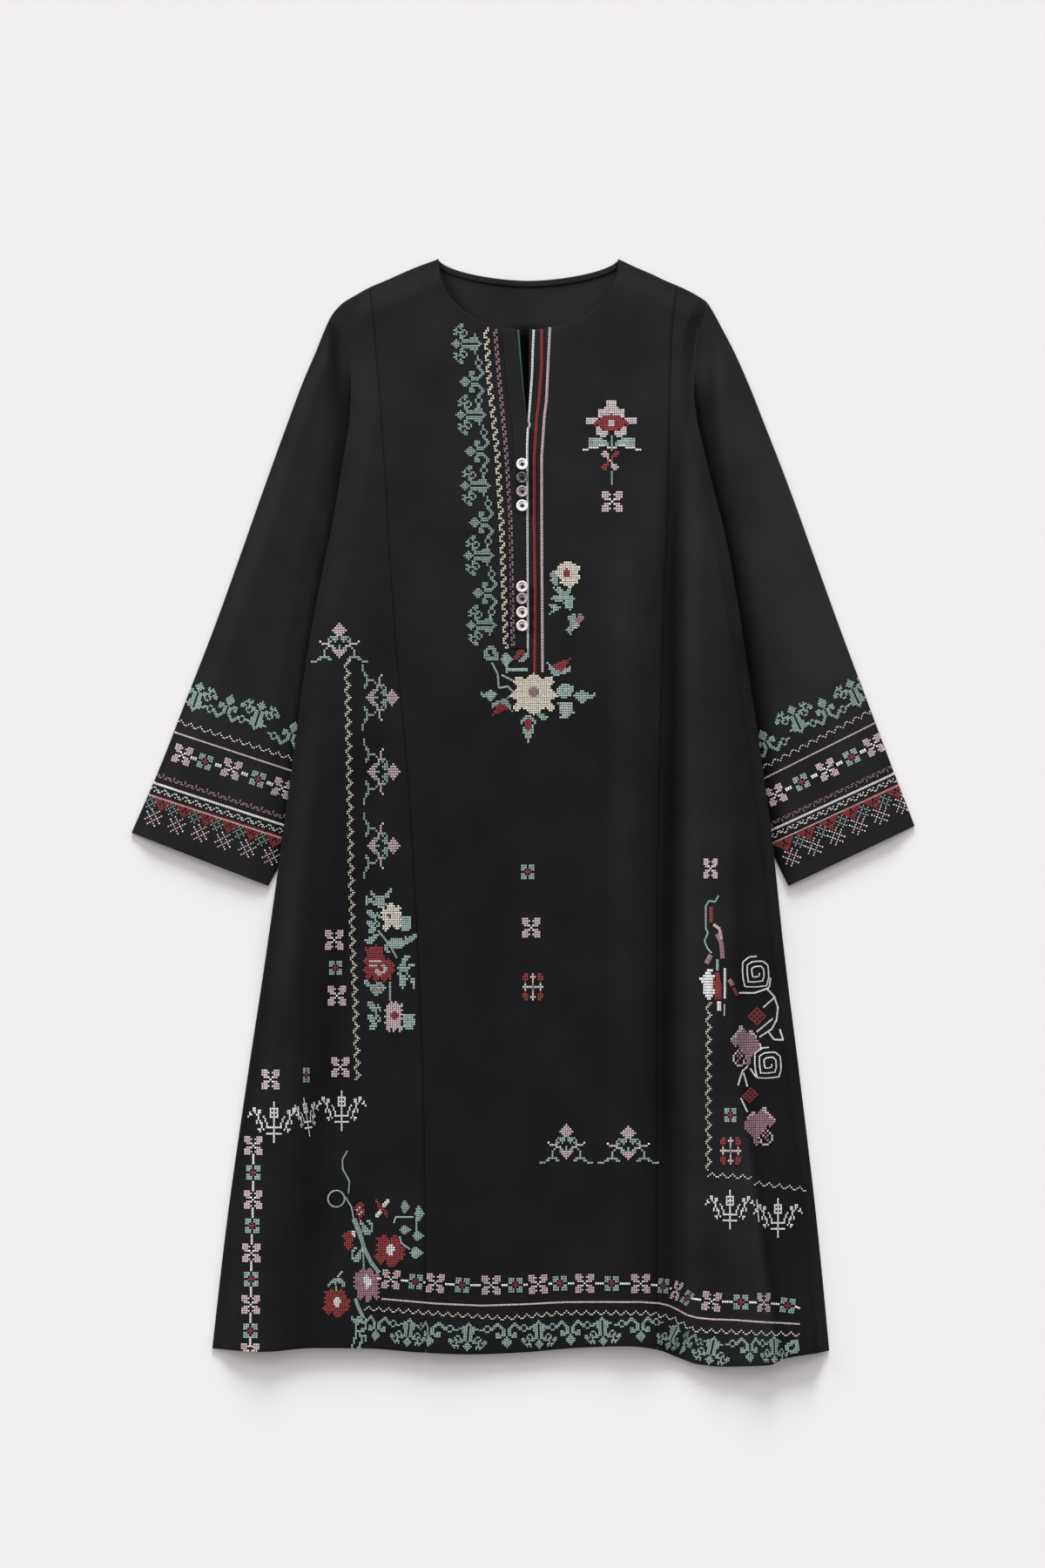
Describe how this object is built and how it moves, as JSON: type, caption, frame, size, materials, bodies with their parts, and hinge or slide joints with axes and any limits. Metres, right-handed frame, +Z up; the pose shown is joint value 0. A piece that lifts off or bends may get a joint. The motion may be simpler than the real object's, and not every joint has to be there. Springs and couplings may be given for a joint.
{
  "type": "embroidered long-sleeved dress",
  "caption": "Black cotton dress laid flat, with wide sleeves, panelled front, slit neck, buttoned band and cross-stitched bands.",
  "frame": {"origin": "on the surface that the dress lies on, under the centre of its overall size", "axes": "+Y from the hem to the neck, +X to the wearer's left, +Z up from the surface through the front"},
  "size_m": [0.8098, 1.144, 0.0147],
  "materials": {
    "cloth": "matt woven cotton",
    "teal_cloth": "matt woven cotton",
    "button_pearl": "pearly, polished",
    "button_slate": "polished",
    "button_smoke": "polished",
    "button_rose": "pearly, polished"
  },
  "bodies": {
    "root": {"front_centre": "cloth", "front_side_right": "cloth", "front_side_left": "cloth", "back": "cloth", "sleeve_right": "cloth", "sleeve_left": "cloth", "back_neck_facing": "cloth", "button_band": "cloth", "slit_facing": "teal_cloth", "button_1": "button_pearl", "button_2": "button_slate", "button_3": "button_smoke", "button_4": "button_pearl", "button_5": "button_rose", "button_6": "button_smoke", "button_7": "button_rose", "button_8": "button_rose"}
  },
  "joints": []
}
